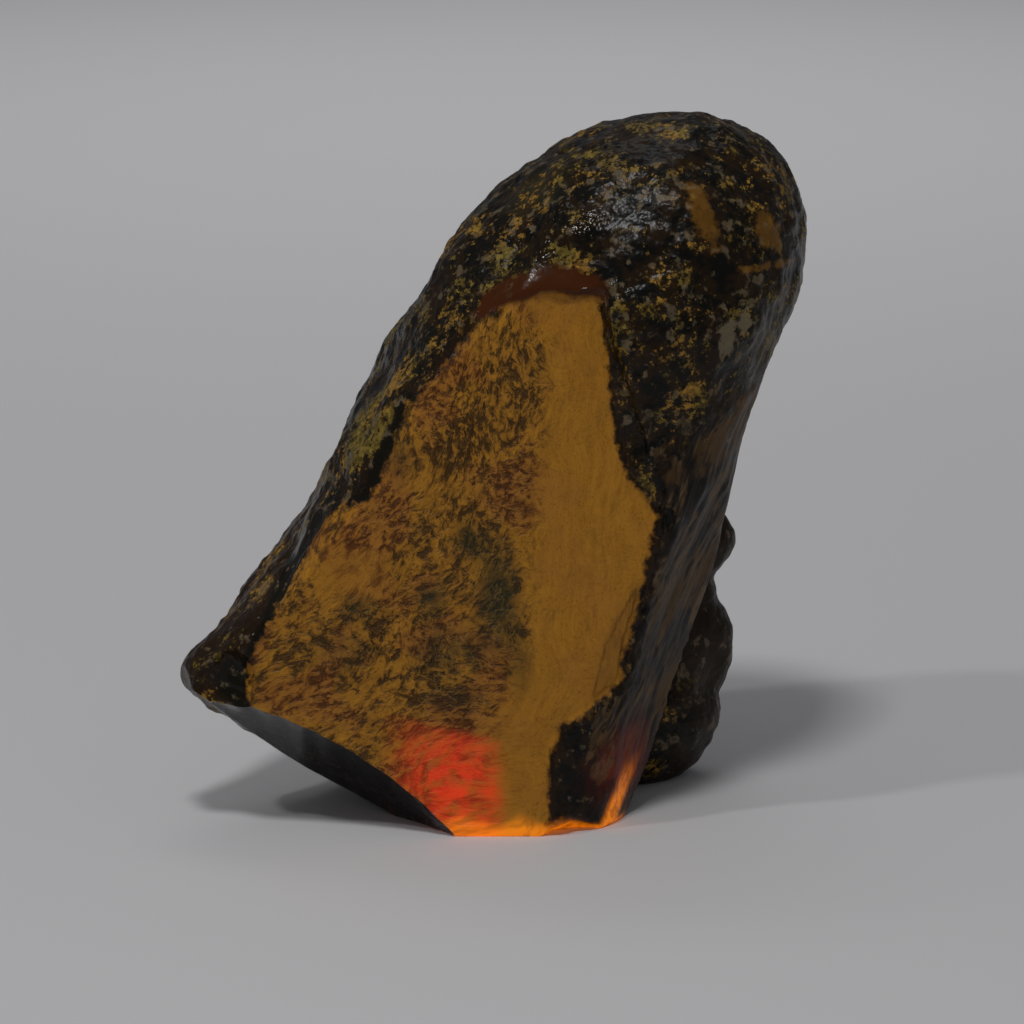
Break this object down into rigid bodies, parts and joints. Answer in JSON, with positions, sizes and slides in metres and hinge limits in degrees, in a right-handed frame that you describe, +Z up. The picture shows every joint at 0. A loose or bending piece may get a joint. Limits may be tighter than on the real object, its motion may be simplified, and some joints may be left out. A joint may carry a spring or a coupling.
{
  "type": "raw amber piece",
  "caption": "Standing lump of raw amber with a domed dark crust, a long flat butterscotch window, resin folds, a side beak and glassy breaks at its foot.",
  "frame": {"origin": "under the middle of the lump's bounding box, at the height of the flat patch that it stands on", "axes": "+Z up along the lump's longest side, -Y out of the flat window, +X to the window's right, the side that the dome leans to"},
  "size_m": [0.0802, 0.0442, 0.0888],
  "materials": {
    "amber_resin": "dark pitted glossy rind over opaque butterscotch resin, clear dark red-brown resin on the broken faces"
  },
  "bodies": {
    "root": {"amber_lump": "amber_resin"}
  },
  "joints": []
}
